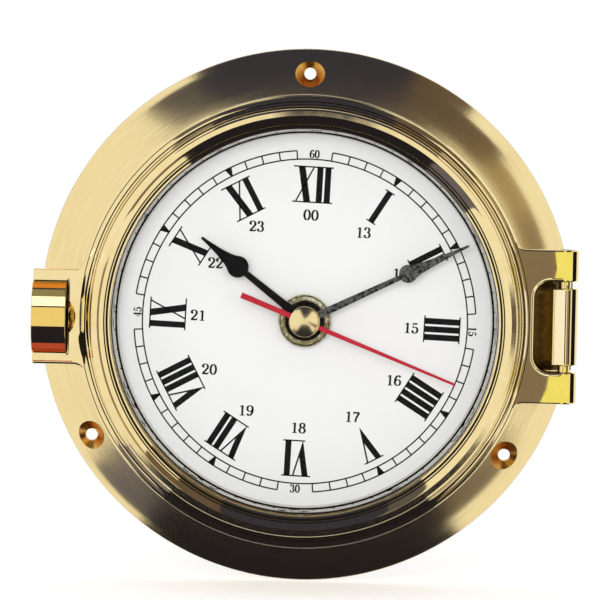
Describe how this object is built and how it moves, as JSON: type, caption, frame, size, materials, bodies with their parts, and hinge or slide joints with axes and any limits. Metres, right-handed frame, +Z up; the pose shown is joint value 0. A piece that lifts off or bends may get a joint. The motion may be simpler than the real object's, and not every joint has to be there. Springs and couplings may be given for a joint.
{
  "type": "ship's clock",
  "caption": "Round brass bulkhead clock in the porthole style: screw flange, hinged glazed bezel with a thumb screw lock, white dial, spade hands and a battery quartz movement.",
  "frame": {"origin": "centre of the flange's back plane, where it meets the bulkhead", "axes": "+X to the right seen from the front, +Y into the bulkhead, +Z up; the dial faces -Y"},
  "size_m": [0.1204, 0.0375, 0.12],
  "materials": {
    "polished_brass": "polished and lacquered, brushed on the flange",
    "plain_brass": "turned",
    "hinge_brass": "drawn rod",
    "bright_ring": "mirror",
    "dial_enamel": "white enamel with black print",
    "clear_glass": "clear float glass",
    "black_rubber": "moulded",
    "black_paint": "satin black",
    "red_paint": "satin red",
    "steel": "plain",
    "black_plastic": "moulded",
    "ivory_plastic": "moulded",
    "copper_wire": "enamelled wire",
    "board": "solder resist",
    "battery_sleeve": "plain sleeve"
  },
  "bodies": {
    "case": {"case_body": "polished_brass", "hinge_pin": "hinge_brass", "dial_plate": "dial_enamel", "dial_spacer_ring": "bright_ring", "ring_screw_1": "steel", "ring_screw_2": "steel", "ring_screw_3": "steel", "movement_front_housing": "black_plastic", "movement_rear_cover": "black_plastic", "threaded_bush": "plain_brass", "rubber_washer": "black_rubber", "hand_nut": "plain_brass", "stator": "steel", "stepper_coil": "copper_wire", "circuit_board": "board", "quartz_crystal": "steel", "alarm_buzzer": "plain_brass", "battery": "battery_sleeve", "battery_contact_positive": "steel", "battery_contact_negative": "steel"},
    "bezel": {"bezel_ring": "polished_brass", "glass": "clear_glass", "glass_gasket": "black_rubber", "glass_retaining_ring": "plain_brass"},
    "lock_tip": {"lock_screw_pad": "plain_brass"},
    "lock_knob": {"lock_screw": "polished_brass"},
    "seconds": {"seconds_wheel": "steel", "second_hand": "red_paint", "second_hand_cap": "polished_brass"},
    "minutes": {"centre_wheel": "plain_brass", "minute_hand": "black_paint"},
    "hours": {"hour_wheel": "plain_brass", "hour_hand": "black_paint"},
    "rotor_arbor": {"rotor": "steel"},
    "intermediate_arbor": {"intermediate_wheel": "ivory_plastic"},
    "third_arbor": {"third_wheel": "ivory_plastic"},
    "motion_arbor": {"motion_wheel": "ivory_plastic", "time_set_knob": "black_plastic"},
    "alarm_arbor": {"alarm_set_knob": "black_plastic"},
    "alarm_ring": {"alarm_wheel": "ivory_plastic"},
    "alarm_slider": {"alarm_switch": "ivory_plastic"}
  },
  "joints": [
    {"name": "bezel_hinge", "type": "hinge", "parent": "case", "child": "bezel", "pos_m": [0.0572, -0.02835, 0], "axis": [0, 0, 1], "range_deg": [0, 180]},
    {"name": "lock_travel", "type": "slide", "parent": "bezel", "child": "lock_tip", "axis": [-1, 0, 0], "range_m": [0, 0.0024]},
    {"name": "lock_turn", "type": "hinge", "parent": "lock_tip", "child": "lock_knob", "pos_m": [-0.056, -0.02882, 0], "axis": [-1, 0, 0], "range_deg": [0, 1080]},
    {"name": "seconds_turn", "type": "hinge", "parent": "case", "child": "seconds", "pos_m": [0, -0.03, 0], "axis": [0, 1, 0], "continuous": true},
    {"name": "minutes_turn", "type": "hinge", "parent": "case", "child": "minutes", "pos_m": [0, -0.029, 0], "axis": [0, 1, 0], "continuous": true},
    {"name": "hours_turn", "type": "hinge", "parent": "case", "child": "hours", "pos_m": [0, -0.0275, 0], "axis": [0, 1, 0], "continuous": true},
    {"name": "rotor_turn", "type": "hinge", "parent": "case", "child": "rotor_arbor", "pos_m": [0.00564, -0.0135, 0.01203], "axis": [0, 1, 0], "continuous": true},
    {"name": "intermediate_turn", "type": "hinge", "parent": "case", "child": "intermediate_arbor", "pos_m": [0.0047, -0.0135, 0.00671], "axis": [0, 1, 0], "continuous": true},
    {"name": "third_turn", "type": "hinge", "parent": "case", "child": "third_arbor", "pos_m": [-0.00707, -0.0135, 0.00408], "axis": [0, 1, 0], "continuous": true},
    {"name": "motion_turn", "type": "hinge", "parent": "case", "child": "motion_arbor", "pos_m": [0.00857, -0.0135, -0.00075], "axis": [0, 1, 0], "continuous": true},
    {"name": "alarm_set_turn", "type": "hinge", "parent": "case", "child": "alarm_arbor", "pos_m": [-0.00493, -0.0135, -0.00705], "axis": [0, 1, 0], "continuous": true},
    {"name": "alarm_ring_turn", "type": "hinge", "parent": "case", "child": "alarm_ring", "pos_m": [0, -0.019, 0], "axis": [0, 1, 0], "continuous": true},
    {"name": "alarm_switch_slide", "type": "slide", "parent": "case", "child": "alarm_slider", "axis": [0, 0, 1], "range_m": [0, 0.003]}
  ],
  "couplings": [
    {"joint": "lock_turn", "follows": "lock_travel", "rad_per_m": 7853.9},
    {"joint": "minutes_turn", "follows": "seconds_turn", "ratio": 0.016667},
    {"joint": "hours_turn", "follows": "seconds_turn", "ratio": 0.0013889},
    {"joint": "rotor_turn", "follows": "seconds_turn", "ratio": 30},
    {"joint": "intermediate_turn", "follows": "seconds_turn", "ratio": -6},
    {"joint": "third_turn", "follows": "seconds_turn", "ratio": -0.13333},
    {"joint": "motion_turn", "follows": "seconds_turn", "ratio": -0.0055556},
    {"joint": "alarm_ring_turn", "follows": "alarm_set_turn", "ratio": -0.25}
  ]
}
